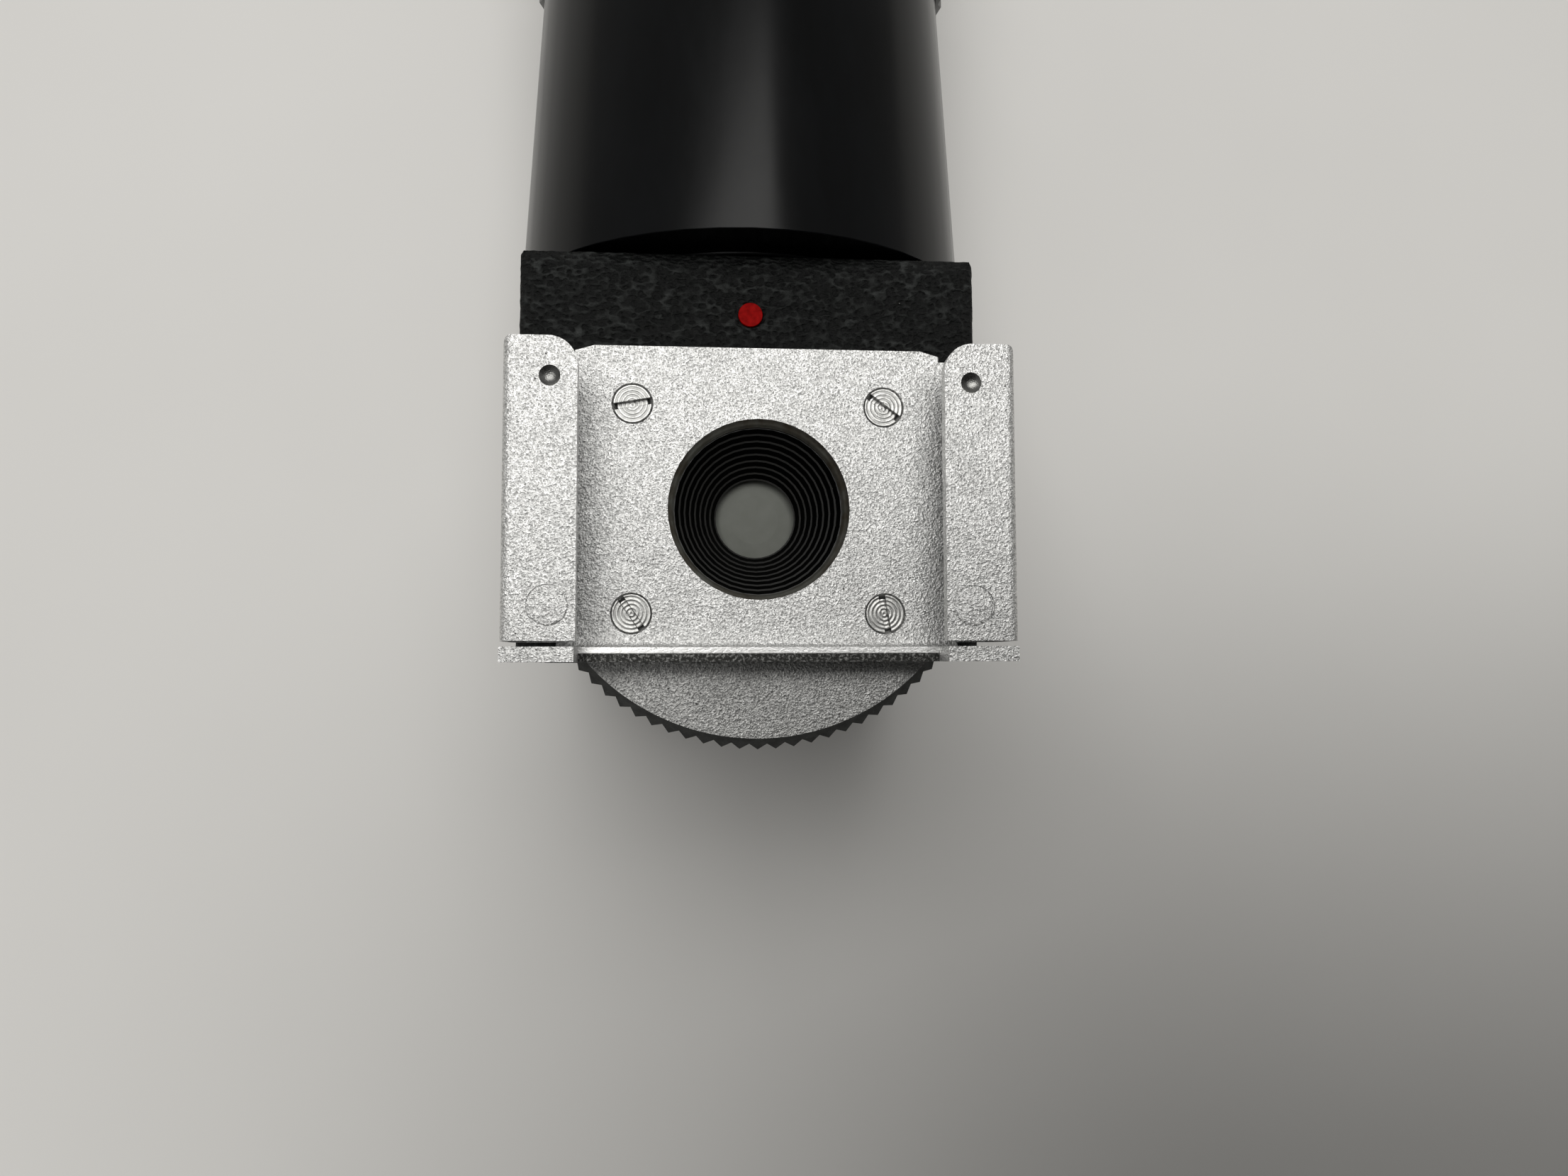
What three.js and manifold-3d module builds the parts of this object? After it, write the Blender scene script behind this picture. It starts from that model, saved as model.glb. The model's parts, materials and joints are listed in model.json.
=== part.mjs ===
// A right-angle finder for a camera's eyepiece, lying on its back: +Z is the way its mount looks, +Y is along
// its eyepiece tube and X runs across it. Millimetres. The mount head turns about the optical axis of the bore,
// the diopter ring turns about the tube, and the lens cell slides in the tube as the ring's groove drives it.
import * as THREE from "three";
import { mergeVertices } from "three/addons/utils/BufferGeometryUtils.js";
import Module from "manifold-3d";

const wasm = await Module();
wasm.setup();

// ---------------------------------------------------------------- driving dimensions
const tubeAxisZ = 18.8; // height of the eyepiece tube's axis above the surface it lies on
const plateFrontZ = 44; // the mount plate's front face, where the camera's eyepiece frame rests
const sheet = 0.9; // thickness of the mount plate's sheet metal
const railWidth = 30.8; // across the outsides of the two rails
const railHeight = 4.43; // from the plate's front face to the front of a lip
const lipReach = 4.4; // how far a lip comes in from the rail's outside
const railTopY = 9.63;
const railBottomY = -8.42;
const plateTopY = 10.33;
const flapInnerY = -8.75; // the stop flap's face towards the rails
const boreRadius = 5.77; // the plate's hole at its front edge
const screwX = 8;
const screwY = 6.63;
const flangeRadius = 14.5; // the knurled flange's front rim
const toothTipRadius = 15.25;
const toothRootRadius = 14.86;
const toothCount = 82;
const flangeFrontZ = plateFrontZ - sheet - 0.06;
const flangeBackZ = 39;
const flangeFlatY = 9.9; // where the flange's top is cut off, clear of a camera's accessory shoe
const hubRadius = 6;
const hubEndZ = 29.6;
const funnelSeatRadius = 6.2; // the flange's bore, where the entrance baffle sits
const funnelSeatZ = 39.95;
const lensBoreRadius = 5;
const lensShoulderZ = 33.9;
const housingFrontZ = 33.9;
const housingHalfWidth = 16.83;
const housingTopY = 20.5;
const housingBottomY = -9.7;
const frontWall = 2;
const sideWall = 3.2;
const topWall = 2;
const bottomWall = 1.5;
const slantDistance = 7.4; // from the fold of the optical axis to the slanted rear face
const coverThickness = 1.4;
const prismHalf = 7.5;
const ridgeDistance = 4; // from the fold of the optical axis to the roof's ridge
const tubeRimY = 20.8;
const tubeRimRadius = 18.5;
const tubeTaper = 0.061; // radius lost for each millimetre along the tube
const tubeShoulderY = 47.2;
const neckRadius = 15.2;
const neckEndY = 57.9;
const cellBoreRadius = 13.2;
const pinY = 52; // where the cam pin stands with the diopter at zero
const ringTurn = 60; // degrees the diopter ring turns each way
const cellTravel = 1.2; // millimetres the lens cell slides each way
const eyecupRadius = 18.8;
const eyecupEndY = 68.5;
const snug = 0.06; // gap between two fixed pieces that touch
const running = 0.2; // gap between a turning or sliding piece and its seat

// ---------------------------------------------------------------- materials
function paint(color, roughness, metalness) {
  return new THREE.MeshStandardMaterial({ color, roughness, metalness });
}
const satinChrome = () => paint(0xb9b9b6, 0.45, 1);
const brightSteel = () => paint(0xc9c9c6, 0.25, 1);
const springSteel = () => paint(0x9a9a98, 0.35, 1);
const brass = () => paint(0xa88a4a, 0.4, 1);
const blackAnodised = () => paint(0x141414, 0.6, 0.3);
const crinkleBlack = () => paint(0x202122, 0.75, 0.1);
const glossBlack = () => paint(0x101112, 0.15, 0.1);
const redEnamel = () => paint(0xc01418, 0.4, 0);
const opticalGlass = () => paint(0xa9b5a8, 0.08, 0);
const blackRubber = () => paint(0x1a1a1a, 0.9, 0);

// ---------------------------------------------------------------- solids
// A geometry with only its positions, and its corners merged where they meet.
function merged(geometry) {
  const bare = geometry.clone();
  bare.deleteAttribute("normal");
  bare.deleteAttribute("uv");
  return mergeVertices(bare, 1e-4);
}

// A closed geometry as a manifold-3d solid, turned inside out where its faces point inwards.
function toSolid(geometry) {
  const closed = merged(geometry);
  const vertProperties = new Float32Array(closed.attributes.position.array);
  const triVerts = new Uint32Array(closed.index.array);
  const made = new wasm.Manifold(new wasm.Mesh({ numProp: 3, vertProperties, triVerts }));
  if (made.volume() > 0) return made;
  for (let i = 0; i < triVerts.length; i += 3) {
    [triVerts[i], triVerts[i + 1]] = [triVerts[i + 1], triVerts[i]];
  }
  return new wasm.Manifold(new wasm.Mesh({ numProp: 3, vertProperties, triVerts }));
}

function toGeometry(solid) {
  const mesh = solid.getMesh();
  const geometry = new THREE.BufferGeometry();
  geometry.setAttribute("position", new THREE.BufferAttribute(new Float32Array(mesh.vertProperties), 3));
  geometry.setIndex(new THREE.BufferAttribute(new Uint32Array(mesh.triVerts), 1));
  geometry.computeVertexNormals();
  return geometry;
}

function join(...geometries) {
  const solids = geometries.map(toSolid);
  return toGeometry(solids.reduce((sum, next) => sum.add(next)));
}

function cut(body, ...tools) {
  return toGeometry(tools.map(toSolid).reduce((left, tool) => left.subtract(tool), toSolid(body)));
}

function common(body, tool) {
  return toGeometry(toSolid(body).intersect(toSolid(tool)));
}

// A box from its lowest to its highest corner.
function block(low, high) {
  const size = high.map((value, i) => value - low[i]);
  const centre = high.map((value, i) => (value + low[i]) / 2);
  return new THREE.BoxGeometry(...size).translate(...centre);
}

// A turned piece about the optical axis: its profile is a closed ring of [radius, z].
function turnedOnZ(profile, segments = 48) {
  return turnedOnY(profile, segments).translate(0, 0, -tubeAxisZ).rotateX(Math.PI / 2);
}

// A turned piece about the tube's axis: its profile is a closed ring of [radius, y].
function turnedOnY(profile, segments = 48) {
  const points = [...profile, profile[0]].map(([radius, along]) => new THREE.Vector2(radius, along));
  const turned = new THREE.LatheGeometry(points, segments).translate(0, 0, tubeAxisZ);
  return toGeometry(toSolid(withoutSlivers(turned)));
}

// A lathe leaves flat triangles where its profile touches the axis, and these are left out.
function withoutSlivers(geometry) {
  const closed = merged(geometry);
  const index = closed.index.array;
  const kept = [];
  for (let i = 0; i < index.length; i += 3) {
    const [a, b, c] = index.slice(i, i + 3);
    if (a !== b && b !== c && a !== c) kept.push(a, b, c);
  }
  closed.setIndex(kept);
  return closed;
}

// A plain ring or, with no inner radius, a plain disc about the optical axis.
function ringOnZ(inner, outer, low, high, segments) {
  return turnedOnZ([[inner, low], [outer, low], [outer, high], [inner, high]], segments);
}

function ringOnY(inner, outer, low, high, segments) {
  return turnedOnY([[inner, low], [outer, low], [outer, high], [inner, high]], segments);
}

// A round pin along Z at a place of its own.
function postOnZ(radius, x, y, low, high, segments = 16) {
  const post = new THREE.CylinderGeometry(radius, radius, high - low, segments).rotateX(Math.PI / 2);
  return post.translate(x, y, (low + high) / 2);
}

function outline(points) {
  return new THREE.Shape(points.map(([x, y]) => new THREE.Vector2(x, y)));
}

function roundedRectangle(left, bottom, right, top, radius) {
  const shape = new THREE.Shape();
  shape.absarc(right - radius, top - radius, radius, 0, Math.PI / 2);
  shape.absarc(left + radius, top - radius, radius, Math.PI / 2, Math.PI);
  shape.absarc(left + radius, bottom + radius, radius, Math.PI, Math.PI * 1.5);
  shape.absarc(right - radius, bottom + radius, radius, Math.PI * 1.5, Math.PI * 2);
  return shape;
}

function slab(shape, low, high, curveSegments = 8) {
  const options = { depth: high - low, bevelEnabled: false, curveSegments };
  return new THREE.ExtrudeGeometry(shape, options).translate(0, 0, low);
}

// How far the prism's slanted face is turned about X from facing +Z.
const slantAngle = THREE.MathUtils.degToRad(135);

// A slab parallel to the prism's slanted face, between two distances from the fold of the optical axis.
function slantedBlock(near, far, halfWidth, halfLength) {
  const box = new THREE.BoxGeometry(2 * halfWidth, 2 * halfLength, far - near);
  return box.translate(0, 0, (near + far) / 2).rotateX(slantAngle).translate(0, 0, tubeAxisZ);
}

function piece(name, geometry, material) {
  const mesh = new THREE.Mesh(geometry, material);
  mesh.name = name;
  return mesh;
}

// ---------------------------------------------------------------- mount head
const railOuterX = railWidth / 2;
const lipFrontZ = plateFrontZ + railHeight;
const plateBackZ = plateFrontZ - sheet;
const screwHeadRadius = 1.22;

// One rail's section in X and Z: a strip of the plate, the side wall bent up from it and the lip bent in.
function railSection() {
  const backBend = 1.2;
  const lipBend = 0.55;
  const insideBend = 0.2;
  const wallInnerX = railOuterX - sheet;
  const lipBackZ = lipFrontZ - sheet;
  const section = new THREE.Shape();
  section.moveTo(railOuterX - lipReach, plateBackZ);
  section.absarc(railOuterX - backBend, plateBackZ + backBend, backBend, -Math.PI / 2, 0);
  section.absarc(railOuterX - lipBend, lipFrontZ - lipBend, lipBend, 0, Math.PI / 2);
  section.lineTo(railOuterX - lipReach, lipFrontZ);
  section.lineTo(railOuterX - lipReach, lipBackZ);
  section.absarc(wallInnerX - insideBend, lipBackZ - insideBend, insideBend, Math.PI / 2, 0, true);
  section.absarc(wallInnerX - insideBend, plateFrontZ + insideBend, insideBend, 0, -Math.PI / 2, true);
  section.lineTo(railOuterX - lipReach, plateFrontZ);
  return section;
}

// A rail on the +X side, standing along Y, with its lip's top corners rounded.
function rail() {
  const length = railTopY - railBottomY;
  const midHeight = plateFrontZ + railHeight / 2;
  const swept = slab(railSection(), 0, length, 5).rotateX(Math.PI / 2).translate(0, railTopY, 0);
  const lipLayer = slab(roundedLipOutline(), midHeight, lipFrontZ + 1);
  const wallLayer = block([0, railBottomY - 1, plateBackZ - 1], [20, railTopY + 1, midHeight]);
  return common(swept, join(lipLayer, wallLayer));
}

// The lip as it is seen from the front: a large round inner corner and a small outer one.
function roundedLipOutline() {
  const innerRound = 1.75;
  const outerRound = 0.55;
  const innerX = railOuterX - lipReach;
  const shape = new THREE.Shape();
  shape.moveTo(innerX, railBottomY);
  shape.lineTo(railOuterX, railBottomY);
  shape.absarc(railOuterX - outerRound, railTopY - outerRound, outerRound, 0, Math.PI / 2);
  shape.absarc(innerX + innerRound, railTopY - innerRound, innerRound, Math.PI / 2, Math.PI);
  return shape;
}

// The flap bent up along the plate's lower edge: its section in Y and Z.
function flapSection(height) {
  const outerBend = 1.3;
  const innerBend = 0.45;
  const flapOuterY = flapInnerY - sheet;
  const section = new THREE.Shape();
  section.moveTo(railBottomY + 1, plateBackZ);
  section.lineTo(railBottomY + 1, plateFrontZ);
  section.absarc(flapInnerY + innerBend, plateFrontZ + innerBend, innerBend, -Math.PI / 2, -Math.PI, true);
  section.lineTo(flapInnerY, plateFrontZ + height);
  section.lineTo(flapOuterY, plateFrontZ + height);
  section.absarc(flapOuterY + outerBend, plateBackZ + outerBend, outerBend, Math.PI, Math.PI * 1.5);
  return section;
}

// A slab whose outline is drawn in Y and Z, running across from one X to another.
function slabAcross(shape, left, right, curveSegments = 5) {
  const upright = new THREE.Matrix4().set(0, 0, 1, 0, 1, 0, 0, 0, 0, 1, 0, 0, 0, 0, 0, 1);
  return slab(shape, left, right, curveSegments).applyMatrix4(upright);
}

function stopFlap() {
  const middleHeight = 1.6;
  const endHeight = 4.3;
  const endInnerX = 11.1;
  const tieHalfWidth = 12.6;
  const middle = slabAcross(flapSection(middleHeight), -tieHalfWidth, tieHalfWidth);
  const upright = common(
    slabAcross(flapSection(endHeight), -railOuterX, railOuterX),
    block([-20, flapInnerY - sheet - 1, plateBackZ - 1], [20, flapInnerY, lipFrontZ + 1])
  );
  const notch = block([-endInnerX, -20, plateFrontZ + middleHeight], [endInnerX, 0, lipFrontZ + 1]);
  return join(middle, cut(upright, notch));
}

// The flat of the plate between the rails; its top corners slope down to meet them.
function plateOutline() {
  const tuckedUnderRail = 0.6;
  const half = railOuterX - lipReach + tuckedUnderRail;
  const shoulder = 1.2;
  const shoulderY = plateTopY - 0.35;
  return outline([
    [-half, railBottomY],
    [half, railBottomY],
    [half, shoulderY],
    [half - shoulder, plateTopY],
    [-half + shoulder, plateTopY],
    [-half, shoulderY],
  ]);
}

function conicalHole(x, y, topRadius, bottomRadius) {
  const extra = 0.5;
  const slope = (topRadius - bottomRadius) / sheet;
  const height = sheet + 2 * extra;
  const cone = new THREE.CylinderGeometry(topRadius + slope * extra, bottomRadius - slope * extra, height, 24);
  return cone.rotateX(Math.PI / 2).translate(x, y, plateFrontZ - sheet / 2);
}

// The marks in a lip's front: a conical punch mark near its top and a shallow round one near its bottom.
function lipMarks(side) {
  const markX = side * 12.63;
  const punchRadius = 0.95;
  const punchDepth = 0.6;
  const punch = new THREE.ConeGeometry(punchRadius, 1.5 * punchDepth, 24).rotateX(-Math.PI / 2);
  const disc = postOnZ(1.25, markX, -6.35, lipFrontZ - 0.1, lipFrontZ + 1, 32);
  return [punch.translate(markX, 7.22, lipFrontZ - punchDepth / 4), disc];
}

function mountPlate() {
  const right = rail();
  const left = right.clone().applyMatrix4(new THREE.Matrix4().makeScale(-1, 1, 1));
  const sheetMetal = join(slab(plateOutline(), plateBackZ, plateFrontZ), right, left, stopFlap());
  const holes = screwPlaces().map(([x, y]) => conicalHole(x, y, screwHeadRadius + 0.1, 0.9));
  const boreBackRadius = 5.4;
  const bore = turnedOnZ([
    [0, plateBackZ - 1],
    [boreBackRadius, plateBackZ - 1],
    [boreBackRadius, plateBackZ],
    [boreRadius, plateFrontZ],
    [boreRadius, plateFrontZ + 1],
    [0, plateFrontZ + 1],
  ]);
  const formed = cut(sheetMetal, bore, ...holes, ...lipMarks(1), ...lipMarks(-1));
  return piece("mount_plate", formed, satinChrome());
}

function screwPlaces() {
  return [[-screwX, screwY], [screwX, screwY], [-screwX, -screwY], [screwX, -screwY]];
}

// A countersunk screw with a straight slot, head up, its top face at z = 0.
function slottedScrew(headRadius, shankRadius, length, slotWidth) {
  const rimHeight = 0.15;
  const slotDepth = 0.38;
  const headDepth = headRadius - shankRadius + rimHeight;
  const profile = [
    [0, 0],
    [headRadius, 0],
    [headRadius, -rimHeight],
    [shankRadius, -headDepth],
    [shankRadius, -length],
    [0, -length],
  ];
  const turned = turnedOnZ(profile, 20);
  const slot = block([-headRadius - 1, -slotWidth / 2, -slotDepth], [headRadius + 1, slotWidth / 2, 1]);
  return cut(turned, slot);
}

function mountScrews() {
  const slotAngles = [10, -37, -55, -80];
  return screwPlaces().map(([x, y], i) => {
    const shape = slottedScrew(screwHeadRadius, 0.7, 3.4, 0.4);
    const screw = piece(`mount_screw_${i + 1}`, shape, brightSteel());
    screw.position.set(x, y, plateFrontZ - 0.03);
    screw.rotation.z = THREE.MathUtils.degToRad(slotAngles[i]);
    return screw;
  });
}

// The toothed edge seen from the front: a straight V knurl with a tooth tip at its lowest point.
function knurlOutline(tipRadius, rootRadius, count) {
  const points = [];
  for (let i = 0; i < 2 * count; i += 1) {
    const angle = -Math.PI / 2 + (i * Math.PI) / count;
    const radius = i % 2 ? rootRadius : tipRadius;
    points.push([radius * Math.cos(angle), radius * Math.sin(angle)]);
  }
  return outline(points);
}

const ballTrackRadius = 9.85;

// The V-shaped track that the detent balls run in, with a deeper seat at each quarter turn.
function ballTrack() {
  const width = 1;
  const depth = 0.6;
  const behind = flangeBackZ - 0.2;
  const profile = [
    [ballTrackRadius - width, behind],
    [ballTrackRadius + width, behind],
    [ballTrackRadius, flangeBackZ + depth],
  ];
  const track = turnedOnZ(profile, 36);
  const seats = [0, 1, 2, 3].map((quarter) => {
    const angle = Math.PI / 4 + (quarter * Math.PI) / 2;
    const seat = new THREE.SphereGeometry(1.05, 10, 6);
    const reach = [Math.cos(angle) * ballTrackRadius, Math.sin(angle) * ballTrackRadius];
    return seat.translate(...reach, flangeBackZ - 0.3);
  });
  return [track, ...seats];
}

function knurledFlange() {
  const chamfer = 1.1;
  const toothed = slab(knurlOutline(toothTipRadius, toothRootRadius, toothCount), flangeBackZ, flangeFrontZ);
  const outside = toothTipRadius + 0.1;
  const envelope = turnedOnZ([
    [0, flangeBackZ],
    [outside, flangeBackZ],
    [outside, flangeFrontZ - chamfer],
    [flangeRadius, flangeFrontZ],
    [0, flangeFrontZ],
  ], 2 * toothCount);
  const hub = ringOnZ(0, hubRadius, hubEndZ, flangeBackZ + 1);
  const exitRadius = 4.2;
  const bore = turnedOnZ([
    [0, hubEndZ - 1],
    [exitRadius, hubEndZ - 1],
    [exitRadius, lensShoulderZ],
    [lensBoreRadius, lensShoulderZ],
    [lensBoreRadius, funnelSeatZ],
    [funnelSeatRadius, funnelSeatZ],
    [funnelSeatRadius, flangeFrontZ + 1],
    [0, flangeFrontZ + 1],
  ], 40);
  const tapRadius = 0.78;
  const tapEndZ = 40.3;
  const taps = screwPlaces().map(([x, y]) => postOnZ(tapRadius, x, y, tapEndZ, flangeFrontZ + 1));
  const flat = block([-20, flangeFlatY, flangeBackZ - 1], [20, 20, flangeFrontZ + 1]);
  const turned = cut(join(common(toothed, envelope), hub), bore, flat, ...taps, ...ballTrack());
  return piece("knurled_flange", turned, satinChrome());
}

// The black funnel inside the bore: steps that catch stray light, down to a round aperture.
function entranceBaffle() {
  const frontZ = 42.9;
  const apertureZ = 38.95;
  const mouthRadius = 5.35;
  const apertureRadius = 2.64;
  const steps = 8;
  const drop = (frontZ - apertureZ) / steps;
  const inset = (mouthRadius - apertureRadius) / steps;
  const backZ = apertureZ - 0.35;
  const profile = [
    [funnelSeatRadius - snug, frontZ],
    [funnelSeatRadius - snug, funnelSeatZ + snug],
    [lensBoreRadius - snug, funnelSeatZ + snug],
    [lensBoreRadius - snug, backZ],
    [apertureRadius + 0.3, backZ],
    [apertureRadius, apertureZ],
  ];
  for (let i = steps; i > 0; i -= 1) {
    const z = frontZ - i * drop;
    const radius = mouthRadius - i * inset;
    profile.push([radius + inset * 0.35, z + 0.06], [radius + inset, z + drop]);
  }
  return piece("entrance_baffle", turnedOnZ(profile, 36), blackAnodised());
}

// A lens's profile: where its edge starts and ends along the axis, and how far each side bulges past that.
function lensProfile(radius, edgeLow, edgeHigh, bulgeLow, bulgeHigh) {
  const profile = [];
  const steps = 3;
  for (let i = 0; i <= steps; i += 1) {
    const r = (radius * i) / steps;
    profile.push([r, edgeLow - bulgeLow * (1 - (r / radius) ** 2)]);
  }
  for (let i = steps; i >= 0; i -= 1) {
    const r = (radius * i) / steps;
    profile.push([r, edgeHigh + bulgeHigh * (1 - (r / radius) ** 2)]);
  }
  return profile;
}

function objectiveLens() {
  const profile = lensProfile(lensBoreRadius - snug, 36.1, 37.6, 0.5, 0.8);
  return piece("objective_lens", turnedOnZ(profile, 24), opticalGlass());
}

function lensSeatRing() {
  const ring = ringOnZ(4.3, lensBoreRadius - snug, lensShoulderZ + snug, 35.85, 32);
  return piece("lens_seat_ring", ring, blackAnodised());
}

const hubNutRadius = 7.9;
const hubNutLowZ = 29.9;

// The nut on the hub's rear end, with a cross of slots for its key.
function hubNut() {
  const slotHalf = 0.6;
  const nut = ringOnZ(hubRadius + snug, hubNutRadius, hubNutLowZ, hubNutLowZ + 1.2, 36);
  const slots = [0, Math.PI / 2].map((turn) => {
    const slot = block([-12, -slotHalf, hubNutLowZ - 0.4], [12, slotHalf, hubNutLowZ + 0.5]);
    return slot.rotateZ(turn);
  });
  return piece("hub_nut", cut(nut, ...slots), brass());
}

function frictionWasher() {
  const washer = ringOnZ(hubRadius + running, hubNutRadius, 31.25, 31.65, 36);
  return piece("friction_washer", washer, springSteel());
}

function mountHead() {
  const head = new THREE.Group();
  head.add(mountPlate(), ...mountScrews(), knurledFlange(), entranceBaffle(), objectiveLens());
  head.add(lensSeatRing(), hubNut(), frictionWasher());
  return head;
}

// ---------------------------------------------------------------- swivel and click stop
const collarFrontZ = 38.7;
const pocketRadius = 1.1;
const ballAngles = [Math.PI / 4, Math.PI * 1.25];

function onBallCircle(angle) {
  return [Math.cos(angle) * ballTrackRadius, Math.sin(angle) * ballTrackRadius];
}

function swivelCollar() {
  const collar = ringOnZ(hubRadius + running, 11.5, housingFrontZ + snug, collarFrontZ);
  const pockets = ballAngles.map((angle) => postOnZ(pocketRadius, ...onBallCircle(angle), 34.6, 40));
  return piece("swivel_collar", cut(collar, ...pockets), blackAnodised());
}

class Helix extends THREE.Curve {
  constructor(radius, height, turns) {
    super();
    this.radius = radius;
    this.height = height;
    this.turns = turns;
  }
  getPoint(t, target = new THREE.Vector3()) {
    const angle = t * this.turns * 2 * Math.PI;
    return target.set(this.radius * Math.cos(angle), this.radius * Math.sin(angle), t * this.height);
  }
}

function roundSection(radius, sides) {
  const points = [];
  for (let i = 0; i < sides; i += 1) {
    const angle = (i * 2 * Math.PI) / sides;
    points.push([radius * Math.cos(angle), radius * Math.sin(angle)]);
  }
  return outline(points);
}

function detentSpring() {
  const turns = 4;
  const options = { steps: turns * 8, bevelEnabled: false, extrudePath: new Helix(0.72, 2.1, turns) };
  return new THREE.ExtrudeGeometry(roundSection(0.13, 4), options);
}

function clickStop() {
  const pieces = [];
  ballAngles.forEach((angle, i) => {
    const ball = piece(`detent_ball_${i + 1}`, new THREE.SphereGeometry(1, 12, 8), brightSteel());
    ball.position.set(...onBallCircle(angle), 38.15);
    const spring = piece(`detent_spring_${i + 1}`, detentSpring(), springSteel());
    spring.position.set(...onBallCircle(angle), 34.8);
    pieces.push(ball, spring);
  });
  return pieces;
}

// ---------------------------------------------------------------- prism housing
// The housing's outer shape, closed: a chamfered block with its lower rear corner cut off at 45 degrees.
function housingEnvelope() {
  const chamfer = 1.2;
  const chamferDepth = 0.7;
  const half = housingHalfWidth - chamfer;
  const lowY = housingBottomY + chamfer;
  const highY = housingTopY - chamfer;
  const face = outline([[-half, lowY], [half, lowY], [half, highY], [-half, highY]]);
  const options = {
    depth: housingFrontZ - 2 * chamferDepth,
    bevelEnabled: true,
    bevelThickness: chamferDepth,
    bevelSize: chamfer,
    bevelSegments: 1,
  };
  const cast = new THREE.ExtrudeGeometry(face, options).translate(0, 0, chamferDepth);
  const cornerRadius = 0.6;
  const sides = [-housingHalfWidth, housingBottomY, housingHalfWidth, housingTopY];
  const post = slab(roundedRectangle(...sides, cornerRadius), -1, housingFrontZ + 1, 4);
  return cut(common(cast, post), slantedBlock(slantDistance, slantDistance + 40, 30, 60));
}

const dotY = 15.66;
const dotRadius = 0.89;
const tubeSpigotRadius = 11.5;
const coverSeat = slantDistance - coverThickness;

// Across and along the slanted face; the face runs from its rear edge at -19 to its lower edge at 6.
function coverScrewPlaces() {
  const x = housingHalfWidth - sideWall / 2;
  return [[-x, 3.4], [x, 3.4], [-x, -15.8], [x, -15.8]];
}

// Something drawn along +Z is turned to point out of the slanted face, at a place across and along it.
function ontoSlant(geometry, across, along, distance) {
  return geometry.translate(across, along, distance).rotateX(slantAngle).translate(0, 0, tubeAxisZ);
}

function prismHousing() {
  const inside = housingHalfWidth - sideWall;
  const cavityLow = [-inside, housingBottomY + bottomWall, 2];
  const cavityHigh = [inside, housingTopY - topWall, housingFrontZ - frontWall];
  const cavity = block(cavityLow, cavityHigh);
  const frontBore = ringOnZ(0, hubRadius + running, housingFrontZ - frontWall - 1, housingFrontZ + 1);
  const topBore = ringOnY(0, tubeSpigotRadius + snug, housingTopY - topWall - 1, housingTopY + 1);
  const dotSeat = postOnZ(dotRadius + snug, 0, dotY, housingFrontZ - 0.35, housingFrontZ + 1, 32);
  const taps = coverScrewPlaces().map(([x, along]) => {
    return ontoSlant(postOnZ(0.68, 0, 0, -3, 1), x, along, coverSeat);
  });
  const rear = slantedBlock(coverSeat - snug, 60, 30, 60);
  const opened = cut(housingEnvelope(), cavity, frontBore, topBore, dotSeat, rear, ...taps);
  return piece("prism_housing", opened, crinkleBlack());
}

function rearCover() {
  const plate = common(housingEnvelope(), slantedBlock(coverSeat, 60, 30, 60));
  const holes = coverScrewPlaces().map(([x, along]) => {
    const sinkDepth = 0.64;
    const sink = new THREE.CylinderGeometry(1.55, 0.85, sinkDepth, 32).rotateX(Math.PI / 2);
    const clear = postOnZ(0.75, 0, 0, -coverThickness - 1, 0);
    const hole = join(sink.translate(0, 0, 0.03 - sinkDepth / 2), clear);
    return ontoSlant(hole, x, along, slantDistance);
  });
  return piece("rear_cover", cut(plate, ...holes), crinkleBlack());
}

function coverScrews() {
  return coverScrewPlaces().map(([x, along], i) => {
    const screw = slottedScrew(1.15, 0.6, 3, 0.35);
    const turned = screw.rotateZ(THREE.MathUtils.degToRad(25 + 50 * i));
    return piece(`cover_screw_${i + 1}`, ontoSlant(turned, x, along, slantDistance - 0.06), brightSteel());
  });
}

// A cube of glass whose lower rear corner is ground to a 90 degree roof, so that the image is upright.
function roofPrism() {
  const low = [-prismHalf, -prismHalf, tubeAxisZ - prismHalf];
  const high = [prismHalf, prismHalf, tubeAxisZ + prismHalf];
  const reach = 20;
  const groundOff = outline([
    [-reach, ridgeDistance - reach],
    [0, ridgeDistance],
    [reach, ridgeDistance - reach],
    [reach, 2 * reach],
    [-reach, 2 * reach],
  ]);
  const roof = slab(groundOff, -2 * reach, 2 * reach).rotateX(Math.PI / 2);
  return piece("roof_prism", cut(block(low, high), ontoSlant(roof, 0, 0, 0)), opticalGlass());
}

const cheekInnerX = prismHalf + 0.2;
const cheekOuterX = 12.2;
const strapSeat = ridgeDistance + 0.1;
const clampScrewX = 10;

// The frame that the prism stands in: a front plate with a window, two cheeks and two pads on the housing.
function prismCradle() {
  const floorY = housingBottomY + bottomWall + 0.1;
  const topY = prismHalf + 0.4;
  const plateZ = 26.5;
  const frontPlate = block([-cheekOuterX, floorY, plateZ], [cheekOuterX, topY, plateZ + 1.5]);
  const window = postOnZ(6, 0, 0, 20, 40, 40);
  const pads = [-11.4, 11.4].map((x) => block([x - 0.8, -3, plateZ + 1], [x + 0.8, 3, 31.8]));
  const cheeks = [-1, 1].map((side) => {
    const ends = [side * cheekInnerX, side * cheekOuterX].sort((a, b) => a - b);
    const full = block([ends[0], floorY, 5], [ends[1], topY, plateZ + 0.5]);
    const tap = ontoSlant(postOnZ(0.58, 0, 0, -3, 1), side * clampScrewX, 0, strapSeat);
    return cut(full, slantedBlock(strapSeat, 60, 30, 60), tap);
  });
  return piece("prism_cradle", cut(join(frontPlate, ...pads, ...cheeks), window), blackAnodised());
}

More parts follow.
